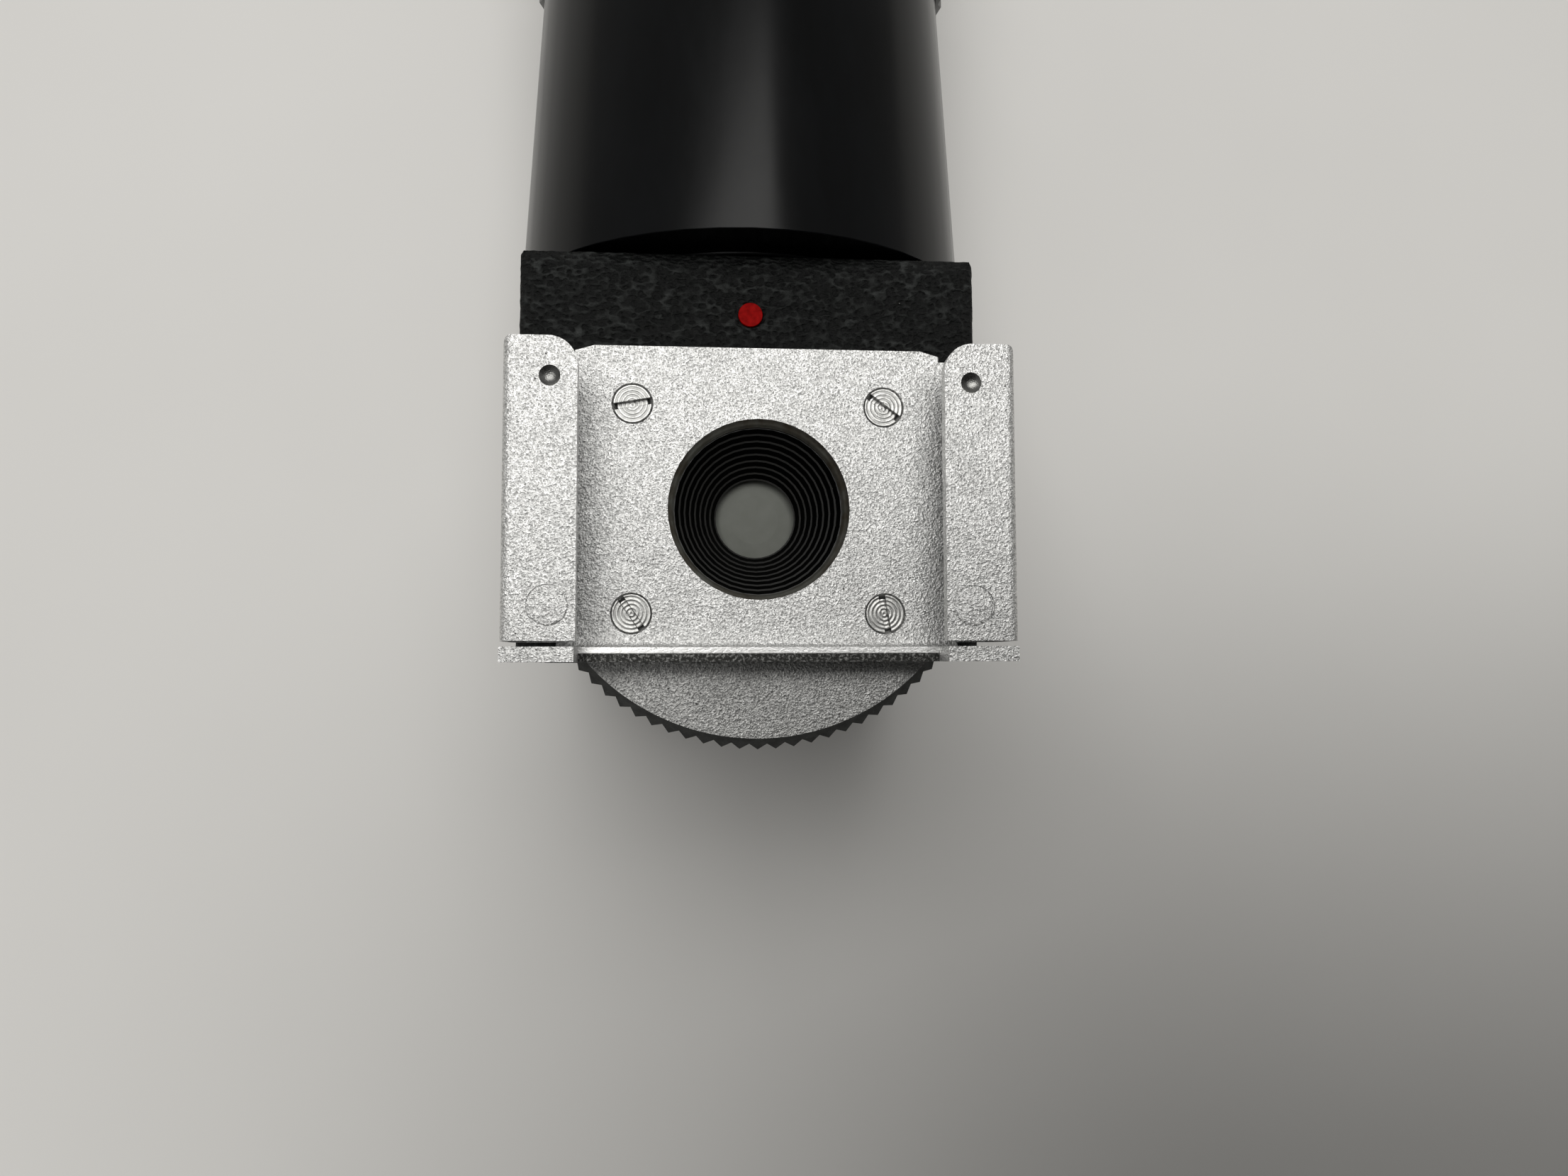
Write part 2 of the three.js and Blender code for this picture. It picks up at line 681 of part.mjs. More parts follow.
function prismClamp() {
  const strap = slantedBlock(strapSeat + 0.06, strapSeat + 0.56, cheekOuterX - 0.4, 3);
  const holes = [-1, 1].map((side) => {
    return ontoSlant(postOnZ(0.62, 0, 0, -1, 2), side * clampScrewX, 0, strapSeat);
  });
  return piece("prism_clamp", cut(strap, ...holes), springSteel());
}

function clampScrews() {
  return [-1, 1].map((side, i) => {
    const profile = [[0, 0.6], [1.1, 0.6], [1.1, 0], [0.5, 0], [0.5, -2.4], [0, -2.4]];
    const slot = block([-3, -0.15, 0.3], [3, 0.15, 1]);
    const screw = ontoSlant(cut(turnedOnZ(profile, 24), slot), side * clampScrewX, 0, strapSeat + 0.62);
    return piece(`clamp_screw_${i + 1}`, screw, brightSteel());
  });
}

function indexDot() {
  const enamel = postOnZ(dotRadius, 0, dotY, housingFrontZ - 0.29, housingFrontZ + 0.04, 32);
  return piece("index_dot", enamel, redEnamel());
}

// ---------------------------------------------------------------- eyepiece tube
const retainerSeatRadius = 14.4;

// The tapered tube, with a slot in its neck that the cam pin runs in.
function eyepieceTube() {
  const shoulderRadius = tubeRimRadius - tubeTaper * (tubeShoulderY - tubeRimY);
  const seatY = housingTopY + snug;
  const spigotEndY = 16.4;
  const spigotBore = 10.2;
  const boreFloorY = 24;
  const footRadius = 14;
  const turned = turnedOnY([
    [tubeSpigotRadius, spigotEndY],
    [tubeSpigotRadius, seatY],
    [footRadius, seatY],
    [footRadius, tubeRimY],
    [tubeRimRadius, tubeRimY],
    [shoulderRadius, tubeShoulderY],
    [neckRadius, tubeShoulderY],
    [neckRadius, neckEndY - 1.2],
    [retainerSeatRadius, neckEndY - 1.2],
    [retainerSeatRadius, neckEndY],
    [cellBoreRadius, neckEndY],
    [cellBoreRadius, boreFloorY],
    [spigotBore, boreFloorY],
    [spigotBore, spigotEndY],
  ]);
  const slotHalf = cellTravel + 1.15;
  const slot = block([12, pinY - slotHalf, tubeAxisZ - 1.05], [17, pinY + slotHalf, tubeAxisZ + 1.05]);
  return piece("eyepiece_tube", cut(turned, slot), glossBlack());
}

function tubeNut() {
  return piece("tube_nut", ringOnY(tubeSpigotRadius + snug, 12.9, 16.8, 18.4, 36), brass());
}

function fieldStop() {
  const outer = cellBoreRadius - 0.1;
  const low = 24.1;
  const ring = turnedOnY([
    [6.3, low],
    [outer, low],
    [outer, low + 1.5],
    [outer - 0.9, low + 1.5],
    [outer - 0.9, low + 0.6],
    [6.5, low + 0.6],
  ], 36);
  return piece("field_stop", ring, blackAnodised());
}

function ringRetainer() {
  const ring = ringOnY(retainerSeatRadius + snug, 16.6, neckEndY - 1, neckEndY);
  return piece("ring_retainer", ring, blackAnodised());
}

// ---------------------------------------------------------------- diopter ring and lens cell
const travelPerRadian = cellTravel / THREE.MathUtils.degToRad(ringTurn);

const grooveRadius = 16;

// The groove that drives the pin: the pin's path as the ring sees it while it turns.
class CamPath extends THREE.Curve {
  getPoint(t, target = new THREE.Vector3()) {
    const turn = THREE.MathUtils.degToRad((2 * t - 1) * (ringTurn + 5));
    const along = pinY + travelPerRadian * turn;
    return target.set(grooveRadius * Math.cos(turn), along, tubeAxisZ + grooveRadius * Math.sin(turn));
  }
}

function diopterRing() {
  const low = tubeShoulderY + 0.3;
  const high = neckEndY - 1.3;
  const teeth = 54;
  const edgeRadius = 17;
  const chamfer = 0.8;
  const knurled = slab(knurlOutline(17.7, 17.3, teeth), -high, -low);
  const toothed = knurled.rotateX(Math.PI / 2).translate(0, 0, tubeAxisZ);
  const envelope = turnedOnY([
    [0, low],
    [edgeRadius, low],
    [edgeRadius + chamfer, low + chamfer],
    [edgeRadius + chamfer, high - chamfer],
    [edgeRadius, high],
    [0, high],
  ], teeth);
  const bore = ringOnY(0, neckRadius + running, low - 1, high + 1, 40);
  const path = { steps: 16, bevelEnabled: false, extrudePath: new CamPath() };
  const groove = new THREE.ExtrudeGeometry(roundSection(1.1, 8), path);
  return piece("diopter_ring", cut(common(toothed, envelope), bore, groove), glossBlack());
}

const cellOuterRadius = 12.95;
const lensRadius = 11.7;
const lensSeatBore = 10.4;
const cupLedgeRadius = 14.8;
const cupLedgeY = 61;

// The sliding cell: a ledge inside holds the lens stack and one outside holds the eyecup.
function lensCell() {
  const lensBore = lensRadius + 0.05;
  const lowY = 45;
  const highY = 63;
  const seatY = 47.6;
  const turned = turnedOnY([
    [lensSeatBore, lowY],
    [cellOuterRadius, lowY],
    [cellOuterRadius, cupLedgeY],
    [cupLedgeRadius, cupLedgeY],
    [cupLedgeRadius, cupLedgeY + 1],
    [cellOuterRadius, cupLedgeY + 1],
    [cellOuterRadius, highY],
    [lensBore, highY],
    [lensBore, seatY],
    [lensSeatBore, seatY],
  ], 36);
  const pinHole = new THREE.CylinderGeometry(0.95, 0.95, 4, 24).rotateZ(Math.PI / 2);
  return piece("lens_cell", cut(turned, pinHole.translate(13, pinY, tubeAxisZ)), blackAnodised());
}

function camPin() {
  const length = 4.3;
  const innerX = 11.95;
  const pin = new THREE.CylinderGeometry(0.85, 0.85, length, 24).rotateZ(Math.PI / 2);
  return piece("cam_pin", pin.translate(innerX + length / 2, pinY, tubeAxisZ), brightSteel());
}

function eyeLenses() {
  const front = turnedOnY(lensProfile(lensRadius, 48.6, 50.2, 0.8, 1.2), 32);
  const rear = turnedOnY(lensProfile(lensRadius, 56.4, 57.8, 1.2, 1.6), 32);
  return [piece("eye_lens_front", front, opticalGlass()), piece("eye_lens_rear", rear, opticalGlass())];
}

// The rings before, between and behind the two eye lenses; the last is bevelled towards the eye.
function lensRings() {
  const seat = ringOnY(lensSeatBore, lensRadius, 47.66, 48.3, 32);
  const spacer = ringOnY(10.9, lensRadius, 50.5, 56.1, 32);
  const bevelled = [[lensSeatBore, 58.3], [lensRadius, 58.3], [lensRadius, 59.8], [11, 59.8]];
  const retainer = turnedOnY(bevelled, 32);
  return [
    piece("lens_seat", seat, blackAnodised()),
    piece("lens_spacer", spacer, blackAnodised()),
    piece("lens_retainer", retainer, blackAnodised()),
  ];
}

// The rubber cup: a thick collar round the cell, a waist and a thin flared rim.
// A groove inside it grips the cell's ledge.
function eyecup() {
  const cupBore = cellOuterRadius + 0.1;
  const collarRadius = 17.8;
  const collarLowY = 59.6;
  const waistRadius = 17.3;
  const mouthRadius = 12.6;
  const gripRadius = cupLedgeRadius + 0.15;
  const outside = [
    [cupBore, collarLowY],
    [collarRadius - 0.6, collarLowY],
    [collarRadius, collarLowY + 0.8],
    [collarRadius, 63.2],
    [waistRadius, 64],
    [waistRadius, 64.8],
    [eyecupRadius, 67.4],
    [eyecupRadius, eyecupEndY - 0.3],
    [eyecupRadius - 0.4, eyecupEndY],
    [eyecupRadius - 1.1, eyecupEndY],
  ];
  const inside = [
    [15.4, 65.2],
    [mouthRadius, 64.2],
    [mouthRadius, 63.1],
    [cupBore, 63.1],
    [cupBore, cupLedgeY + 1.1],
    [gripRadius, cupLedgeY + 1.1],
    [gripRadius, cupLedgeY - 0.1],
    [cupBore, cupLedgeY - 0.1],
  ];
  return piece("eyecup", turnedOnY([...outside, ...inside], 36), blackRubber());
}

function eyepieceEnd() {
  const end = new THREE.Group();
  end.add(diopterRing(), lensCell(), camPin(), ...eyeLenses(), ...lensRings(), eyecup());
  return end;
}

// ---------------------------------------------------------------- the whole finder
const finder = new THREE.Group();
finder.add(mountHead(), swivelCollar(), ...clickStop());
finder.add(prismHousing(), rearCover(), ...coverScrews(), roofPrism(), prismCradle(), prismClamp());
finder.add(...clampScrews(), indexDot(), eyepieceTube(), tubeNut(), fieldStop(), ringRetainer(), eyepieceEnd());
finder.position.y = -(eyecupEndY - toothTipRadius) / 2;

const group = new THREE.Group();
group.add(finder);
export default group;
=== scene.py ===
"""The looks of a right-angle finder scope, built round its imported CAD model.

Metres. The finder lies on its back: +Z is the way its mount looks, +Y runs along its eyepiece tube and X
runs across it.
"""
import json
import math

import bmesh
import bpy
from mathutils import Matrix, Vector


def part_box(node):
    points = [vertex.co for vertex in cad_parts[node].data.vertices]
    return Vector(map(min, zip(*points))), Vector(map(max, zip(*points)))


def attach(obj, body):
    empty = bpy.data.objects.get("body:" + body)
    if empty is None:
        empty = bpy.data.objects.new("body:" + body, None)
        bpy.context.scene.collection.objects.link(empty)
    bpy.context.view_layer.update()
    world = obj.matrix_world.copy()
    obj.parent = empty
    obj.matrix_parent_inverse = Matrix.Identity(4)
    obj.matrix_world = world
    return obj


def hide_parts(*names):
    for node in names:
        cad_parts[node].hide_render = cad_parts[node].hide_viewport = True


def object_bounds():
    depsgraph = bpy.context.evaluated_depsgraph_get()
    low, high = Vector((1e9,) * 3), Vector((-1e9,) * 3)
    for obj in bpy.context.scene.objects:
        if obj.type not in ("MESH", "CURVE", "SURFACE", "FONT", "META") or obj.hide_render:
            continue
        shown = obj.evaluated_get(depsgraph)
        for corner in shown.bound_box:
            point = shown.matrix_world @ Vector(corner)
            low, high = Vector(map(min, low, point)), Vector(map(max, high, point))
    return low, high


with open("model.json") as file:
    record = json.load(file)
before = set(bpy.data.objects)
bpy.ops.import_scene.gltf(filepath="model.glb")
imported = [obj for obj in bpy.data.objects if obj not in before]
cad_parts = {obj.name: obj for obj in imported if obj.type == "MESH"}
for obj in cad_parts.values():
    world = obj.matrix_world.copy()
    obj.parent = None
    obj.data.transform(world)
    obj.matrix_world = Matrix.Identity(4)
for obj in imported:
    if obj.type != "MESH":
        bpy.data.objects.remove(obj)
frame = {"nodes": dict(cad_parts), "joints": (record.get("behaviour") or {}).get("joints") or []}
cad_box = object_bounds()

MM = 0.001
SHEET = 0.9 * MM  # thickness of the mount plate's sheet metal
LIP_RISE = 4.43 * MM  # from the mount plate's front face to the front of a rail's lip
JOINTS = {joint["name"]: joint for joint in frame["joints"]}
BORE = Vector(JOINTS["mount_swivel"]["pos_m"])  # where the optical axis meets the mount plate's front face
LOWER_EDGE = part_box("mount_plate")[0].y  # the outer face of the stop flap
LIP_FRONT = BORE.z + LIP_RISE  # the height of the front face of each rail's lip
LIP_MARK_X = 12.63 * MM  # how far the marks in the lips are from the middle
PUNCHES = [BORE + Vector((side * LIP_MARK_X, 7.22 * MM, 0.0)) for side in (-1, 1)]
PLATE_SCREWS = [sum(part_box(f"mount_screw_{i}"), Vector()) / 2 for i in range(1, 5)]
SHARP_EDGE = math.radians(28.0)  # an edge that turns more than this is rounded off


# ---------------------------------------------------------------- camera, floor and light
def make_camera():
    """A short lens close above the bore, looking down at the mount."""
    place = BORE + Vector((-4.37, -9.78, 71.14)) * MM
    target = BORE + Vector((1.56, -5.01, 0.0)) * MM
    roll = math.radians(-0.15)
    data = bpy.data.cameras.new("camera")
    data.sensor_width = 36.0
    data.lens = 26.04
    data.clip_start = 0.005
    data.clip_end = 5.0
    camera = bpy.data.objects.new("camera", data)
    bpy.context.scene.collection.objects.link(camera)
    back = (place - target).normalized()
    right = Vector((0.0, 1.0, 0.0)).cross(back).normalized()
    up = back.cross(right)
    turned = Matrix((right, up, back)).transposed() @ Matrix.Rotation(roll, 3, "Z")
    camera.matrix_world = Matrix.Translation(place) @ turned.to_4x4()
    bpy.context.scene.camera = camera


def area_light(name, place, target, size, power, color=(1.0, 1.0, 1.0)):
    data = bpy.data.lights.new(name, "AREA")
    data.shape = "RECTANGLE"
    data.size, data.size_y = size
    data.energy = power
    data.color = color
    light = bpy.data.objects.new(name, data)
    bpy.context.scene.collection.objects.link(light)
    light.location = place
    light.rotation_mode = "QUATERNION"
    light.rotation_quaternion = (Vector(target) - Vector(place)).to_track_quat("-Z", "Y")


def make_world():
    """A studio that is pale towards the far end of the tube and dimmer towards the near side."""
    world = bpy.data.worlds.new("studio")
    bpy.context.scene.world = world
    world.use_nodes = True
    tree = world.node_tree
    background = tree.nodes["Background"]
    coords = tree.nodes.new("ShaderNodeTexCoord")
    facing = tree.nodes.new("ShaderNodeVectorMath")
    facing.operation = "DOT_PRODUCT"
    facing.inputs[1].default_value = Vector((-0.25, 0.95, 0.1)).normalized()
    share = tree.nodes.new("ShaderNodeMapRange")
    share.inputs["From Min"].default_value = -1.0
    ramp = tree.nodes.new("ShaderNodeValToRGB")
    tree.links.new(coords.outputs["Generated"], facing.inputs[0])
    tree.links.new(facing.outputs["Value"], share.inputs["Value"])
    tree.links.new(share.outputs["Result"], ramp.inputs["Fac"])
    tree.links.new(ramp.outputs["Color"], background.inputs["Color"])
    stops = [(0.0, 0.05), (0.30, 0.10), (0.50, 0.27), (0.75, 0.30), (1.0, 0.42)]
    while len(ramp.color_ramp.elements) < len(stops):
        ramp.color_ramp.elements.new(0.5)
    for element, (at, value) in zip(ramp.color_ramp.elements, stops):
        element.position = at
        element.color = (value, value * 0.99, value * 0.965, 1.0)
    background.inputs["Strength"].default_value = 1.0


def make_lights():
    """One broad soft lamp overhead, and a black flag beside the lens that keeps it off the lower right."""
    area_light("key", (-0.10, 0.28, 1.2), (0.0, 0.0, 0.0), (1.0, 0.8), 11.0, (1.0, 0.99, 0.965))
    lens = bpy.context.scene.camera.matrix_world.translation
    left, right, near, far = -0.018, 0.135, -0.062, 0.016
    above_lens = 0.003
    outline = [(left, near), (right, near), (right, far), (left, far)]
    corners = [lens + Vector((x, y, above_lens)) for x, y in outline]
    mesh = bpy.data.meshes.new("flag")
    mesh.from_pydata(corners, [], [(0, 1, 2, 3)])
    black = bpy.data.materials.new("flag_black")
    black.use_nodes = True
    black.node_tree.nodes["Principled BSDF"].inputs["Base Color"].default_value = (0.01, 0.01, 0.01, 1.0)
    mesh.materials.append(black)
    flag = bpy.data.objects.new("flag", mesh)
    bpy.context.scene.collection.objects.link(flag)
    flag.visible_camera = False
    bpy.context.scene.view_settings.view_transform = "Standard"


# ---------------------------------------------------------------- materials
class Graph:
    """A material's nodes, made one call at a time."""

    def __init__(self, name):
        self.material = bpy.data.materials.new(name)
        self.material.use_nodes = True
        self.tree = self.material.node_tree
        self.shader = self.tree.nodes["Principled BSDF"]
        self.place = self.node("TexCoord").outputs["Object"]

    def node(self, kind, inputs=None, **settings):
        made = self.tree.nodes.new("ShaderNode" + kind)
        for key, value in settings.items():
            setattr(made, key, value)
        for key, value in (inputs or {}).items():
            self.put(made.inputs[key], value)
        return made

    def put(self, socket, value):
        if isinstance(value, bpy.types.NodeSocket):
            self.tree.links.new(value, socket)
        else:
            socket.default_value = value

    def set(self, **values):
        for key, value in values.items():
            self.put(self.shader.inputs[key.replace("_", " ")], value)

    def stretched(self, scale, turn=(0.0, 0.0, 0.0)):
        node = self.node("Mapping", {"Vector": self.place, "Scale": scale, "Rotation": turn})
        return node.outputs["Vector"]

    def noise(self, size, detail=3.0, rough=0.55, vector=None, distortion=0.0):
        """Cloudy values from 0 to 1 whose blotches are size metres across."""
        inputs = {
            "Vector": vector or self.place,
            "Scale": 1.0 / size,
            "Detail": detail,
            "Roughness": rough,
            "Distortion": distortion,
        }
        return self.node("TexNoise", inputs).outputs["Fac"]

    def cells(self, size, feature="F1", vector=None):
        inputs = {"Vector": vector or self.place, "Scale": 1.0 / size}
        return self.node("TexVoronoi", inputs, feature=feature).outputs["Distance"]

    def span(self, value, low, high, to_low=0.0, to_high=1.0):
        inputs = {
            "Value": value,
            "From Min": low,
            "From Max": high,
            "To Min": to_low,
            "To Max": to_high,
        }
        return self.node("MapRange", inputs, clamp=True).outputs["Result"]

    def math(self, operation, first, second=0.0):
        node = self.node("Math", operation=operation)
        self.put(node.inputs[0], first)
        self.put(node.inputs[1], second)
        return node.outputs["Value"]

    def mix(self, factor, first, second):
        node = self.node("Mix", data_type="RGBA", blend_type="MIX")
        self.put(node.inputs["Factor"], factor)
        self.put(node.inputs["A"], as_color(first))
        self.put(node.inputs["B"], as_color(second))
        return node.outputs["Result"]

    def bump(self, height, depth, strength=1.0):
        return self.node("Bump", {"Height": height, "Distance": depth, "Strength": strength}).outputs["Normal"]

    def specks(self, cell, radius, share):
        """1 inside small round specks: one cell in so many holds one."""
        near = self.cells(cell)
        inside = self.span(near, radius / cell, radius / cell * 0.7)
        chosen = self.span(self.noise(cell * 2.3, 1.0), 1.0 - share, 1.02 - share)
        return self.math("MULTIPLY", inside, chosen)

    def scratches(self, length, width, turn, share):
        """1 on thin straight marks that lie one way."""
        lines = self.stretched((1.0 / length, 1.0 / width, 1.0 / length), (0.0, 0.0, turn))
        field = self.node("TexNoise", {"Vector": lines, "Scale": 1.0, "Detail": 1.0}).outputs["Fac"]
        return self.span(field, 0.76 - share, 0.79 - share)


def as_color(value):
    if isinstance(value, (tuple, list)) and len(value) == 3:
        return (*value, 1.0)
    return value


def satin_chrome(name, bright, dim, knocks=0.42):
    """Pearl chrome over blasted metal: a fine sparkle, clouds of tone, small pits and hairline scratches."""
    g = Graph(name)
    grain = g.noise(0.12 * MM, 2.0, 0.6)
    sand = g.noise(0.22 * MM, 2.0, 0.6)
    cloud = g.noise(2.2 * MM, 4.0, 0.6)
    pits = g.specks(0.6 * MM, 0.055 * MM, knocks)
    stains = g.specks(2.6 * MM, 0.16 * MM, 0.30)
    marks = g.scratches(3.0 * MM, 0.05 * MM, 0.9, 0.02)
    cross = g.scratches(2.2 * MM, 0.045 * MM, -0.5, 0.02)
    worn = g.math("MAXIMUM", marks, cross)
    tone = g.mix(g.span(cloud, 0.3, 0.7), dim, bright)
    tone = g.mix(g.span(grain, 0.36, 0.56, 0.62, 0.0), tone, tuple(v * 0.25 for v in dim))
    tone = g.mix(g.span(sand, 0.40, 0.52, 0.28, 0.0), tone, tuple(v * 0.40 for v in dim))
    tone = g.mix(g.math("MULTIPLY", pits, 0.85), tone, (0.06, 0.055, 0.05))
    tone = g.mix(g.math("MULTIPLY", stains, 0.30), tone, (0.16, 0.14, 0.12))
    tone = g.mix(g.math("MULTIPLY", worn, 0.45), tone, (0.26, 0.26, 0.25))
    rough = g.math("ADD", g.span(cloud, 0.3, 0.7, 0.46, 0.40), g.span(grain, 0.3, 0.7, 0.10, 0.0))
    height = g.math("SUBTRACT", g.math("ADD", grain, sand), g.math("MULTIPLY", pits, 1.5))
    g.set(
        Base_Color=tone,
        Metallic=1.0,
        Roughness=rough,
        Normal=g.bump(height, 0.07 * MM, 1.0),
    )
    return g.material


def knurl_dark_reflection():
    """The knurl's plating painted near black with grey specks: a painted dark reflection on its teeth."""
    g = Graph("knurl_dark_reflection")
    grain = g.noise(0.12 * MM, 3.0, 0.65)
    mottle = g.noise(0.7 * MM, 4.0, 0.6)
    # Near-black tone: a painted dark reflection on the knurl.
    tone = g.mix(g.span(mottle, 0.35, 0.7), (0.030, 0.031, 0.030), (0.062, 0.064, 0.062))
    tone = g.mix(g.span(grain, 0.62, 0.74, 0.0, 0.5), tone, (0.20, 0.20, 0.19))
    g.set(
        Base_Color=tone,
        Metallic=0.55,
        Roughness=g.span(grain, 0.3, 0.7, 0.50, 0.66),
        Normal=g.bump(grain, 0.02 * MM, 0.7),
    )
    return g.material


def cut_edge():
    """The sheet's sheared edge: a bright strip towards the rails, part burnish and part painted highlight,
    then dark torn metal, part tear and part painted dark reflection.
    """
    g = Graph("cut_edge")
    torn = g.noise(0.20 * MM, 4.0, 0.7)
    across = g.node("SeparateXYZ", {"Vector": g.place}).outputs["Y"]
    flap_inner_y = LOWER_EDGE + SHEET
    # The bright strip is partly a burnish and partly a painted highlight; the dark torn metal is partly a
    # painted dark reflection.
    burnish_and_highlight = g.span(across, flap_inner_y - 0.40 * MM, flap_inner_y - 0.32 * MM)
    tear_and_dark_reflection = g.mix(g.span(torn, 0.50, 0.68), (0.035, 0.035, 0.033), (0.34, 0.34, 0.33))
    burnish_highlight_tone = g.mix(g.span(torn, 0.30, 0.40), (0.30, 0.30, 0.29), (0.86, 0.86, 0.85))
    g.set(
        Base_Color=g.mix(burnish_and_highlight, tear_and_dark_reflection, burnish_highlight_tone),
        Metallic=1.0,
        Roughness=g.mix(burnish_and_highlight, (0.55, 0.55, 0.55), (0.34, 0.34, 0.34)),
        Normal=g.bump(torn, 0.03 * MM, 0.7),
    )
    return g.material


def turned_bore():
    """The bore's cone: brown-grey metal with the fine lines that the tool left round it."""
    g = Graph("turned_bore")
    inputs = {"Vector": g.place, "Scale": 1.0 / (2.6 * MM), "Distortion": 0.3}
    lines = g.node("TexWave", inputs, bands_direction="Z").outputs["Fac"]
    grime = g.noise(1.4 * MM, 4.0, 0.6)
    tone = g.mix(g.span(grime, 0.35, 0.65), (0.62, 0.61, 0.59), (0.30, 0.25, 0.20))
    g.set(
        Base_Color=g.mix(g.span(lines, 0.0, 0.5, 0.45, 0.0), tone, (0.06, 0.055, 0.05)),
        Metallic=1.0,
        Roughness=0.36,
        Normal=g.bump(lines, 0.02 * MM, 0.6),
    )
    return g.material


def turned_steel(name, base, rough):
    """Bright steel with the circles of a lathe tool, centred on the piece."""
    g = Graph(name)
    coords = g.node("TexCoord").outputs["Generated"]
    centred = g.node("Mapping", {"Vector": coords, "Location": (-0.5, -0.5, 0.0)}).outputs["Vector"]
    inputs = {"Vector": centred, "Scale": 3.0, "Distortion": 0.5, "Detail": 2.0, "Detail Scale": 2.0}
    rings = g.node("TexWave", inputs, wave_type="RINGS", rings_direction="Z").outputs["Fac"]
    grain = g.noise(0.09 * MM, 3.0)
    blot = g.noise(0.5 * MM, 3.0)
    tone = g.mix(g.span(blot, 0.35, 0.7), base, tuple(v * 0.62 for v in base))
    tone = g.mix(g.span(rings, 0.0, 0.35, 0.55, 0.0), tone, tuple(v * 0.25 for v in base))
    height = g.math("ADD", rings, g.math("MULTIPLY", grain, 0.6))
    g.set(
        Base_Color=tone,
        Metallic=1.0,
        Roughness=g.span(grain, 0.3, 0.7, rough, rough + 0.14),
        Normal=g.bump(height, 0.03 * MM, 0.8),
    )
    return g.material


def plain_metal(name, base, rough):
    g = Graph(name)
    grain = g.noise(0.14 * MM, 4.0)
    blot = g.noise(1.5 * MM, 3.0)
    g.set(
        Base_Color=g.mix(g.span(blot, 0.3, 0.7), base, tuple(v * 0.7 for v in base)),
        Metallic=1.0,
        Roughness=g.span(grain, 0.3, 0.7, rough, rough + 0.15),
        Normal=g.bump(grain, 0.01 * MM, 0.6),
    )
    return g.material


def black_anodised(name, low, high, gloss):
    """Dyed black metal with a fine grain and a little dust."""
    g = Graph(name)
    grain = g.noise(0.08 * MM, 3.0)
    dust = g.specks(0.6 * MM, 0.03 * MM, 0.35)
    tone = g.mix(g.span(grain, 0.3, 0.8), (low, low, low * 0.95), (high, high, high * 0.96))
    g.set(
        Base_Color=g.mix(g.math("MULTIPLY", dust, 0.5), tone, (0.35, 0.35, 0.33)),
        Metallic=0.0,
        Roughness=g.span(grain, 0.3, 0.7, 0.34, 0.5),
        Normal=g.bump(grain, 0.008 * MM, 0.5),
    )
    g.set(Specular_IOR_Level=gloss)
    return g.material


def crinkle_black():
    """Thick enamel that dried in fine wrinkles, with pale dust caught in it."""
    g = Graph("crinkle_black")
    wave = g.noise(0.6 * MM, 3.0, 0.6, g.stretched((0.55, 1.0, 1.0)), 0.4)
    warp = g.node("VectorMath", operation="ADD")
    g.put(warp.inputs[0], g.stretched((0.62, 1.0, 1.0)))
    drift = g.node("VectorMath", {1: (0.35 * MM,) * 3}, operation="MULTIPLY")
    eddies = g.node("TexNoise", {"Vector": g.place, "Scale": 1.0 / (0.5 * MM)})
    g.put(drift.inputs[0], eddies.outputs["Color"])
    g.put(warp.inputs[1], drift.outputs["Vector"])
    fold = g.cells(0.30 * MM, "SMOOTH_F1", warp.outputs["Vector"])
    fine = g.noise(0.12 * MM, 3.0, 0.65)
    height = g.math("ADD", g.math("MULTIPLY", fold, 1.1), g.math("MULTIPLY", fine, 0.35))
    height = g.math("ADD", height, g.math("MULTIPLY", wave, 0.7))
    peaks = g.span(height, 1.0, 1.45)
    dust = g.specks(0.75 * MM, 0.035 * MM, 0.34)
    swirl = g.noise(2.6 * MM, 4.0, 0.6, g.stretched((0.45, 1.0, 1.0)), 1.2)
    peaks = g.math("MULTIPLY", peaks, g.span(swirl, 0.38, 0.62, 0.25, 1.0))
    tone = g.mix(peaks, (0.0050, 0.0054, 0.0053), (0.040, 0.043, 0.042))
    g.set(
        Base_Color=g.mix(g.math("MULTIPLY", dust, 0.85), tone, (0.55, 0.56, 0.53)),
        Metallic=0.0,
        Roughness=g.span(fine, 0.3, 0.7, 0.42, 0.62),
        Normal=g.bump(height, 0.24 * MM, 1.0),
    )
    g.set(Specular_IOR_Level=0.12)
    return g.material


def gloss_black():
    g = Graph("gloss_black")
    peel = g.noise(1.6 * MM, 2.0)
    smear = g.noise(5.5 * MM, 4.0, 0.6, g.stretched((1.0, 0.35, 1.0)))
    dust = g.specks(1.4 * MM, 0.035 * MM, 0.30)
    tone = g.mix(g.span(smear, 0.35, 0.7), (0.0012, 0.0014, 0.0016), (0.0026, 0.0030, 0.0036))
    g.set(
        Base_Color=g.mix(g.math("MULTIPLY", dust, 0.8), tone, (0.45, 0.45, 0.42)),
        Metallic=0.0,
        Roughness=g.span(smear, 0.3, 0.75, 0.19, 0.26),
        Normal=g.bump(peel, 0.006 * MM, 0.35),
    )
    g.set(Specular_IOR_Level=0.15)
    return g.material


def red_enamel():
    g = Graph("red_enamel")
    blot = g.noise(0.4 * MM, 3.0)
    chip = g.specks(0.7 * MM, 0.08 * MM, 0.5)
    tone = g.mix(g.span(blot, 0.35, 0.7), (0.27, 0.0012, 0.001), (0.17, 0.001, 0.001))
    g.set(
        Base_Color=g.mix(g.math("MULTIPLY", chip, 0.7), tone, (0.05, 0.001, 0.001)),
        Roughness=g.span(blot, 0.3, 0.7, 0.35, 0.5),
        Normal=g.bump(blot, 0.03 * MM, 0.5),
    )
    g.set(Specular_IOR_Level=0.02)
    return g.material


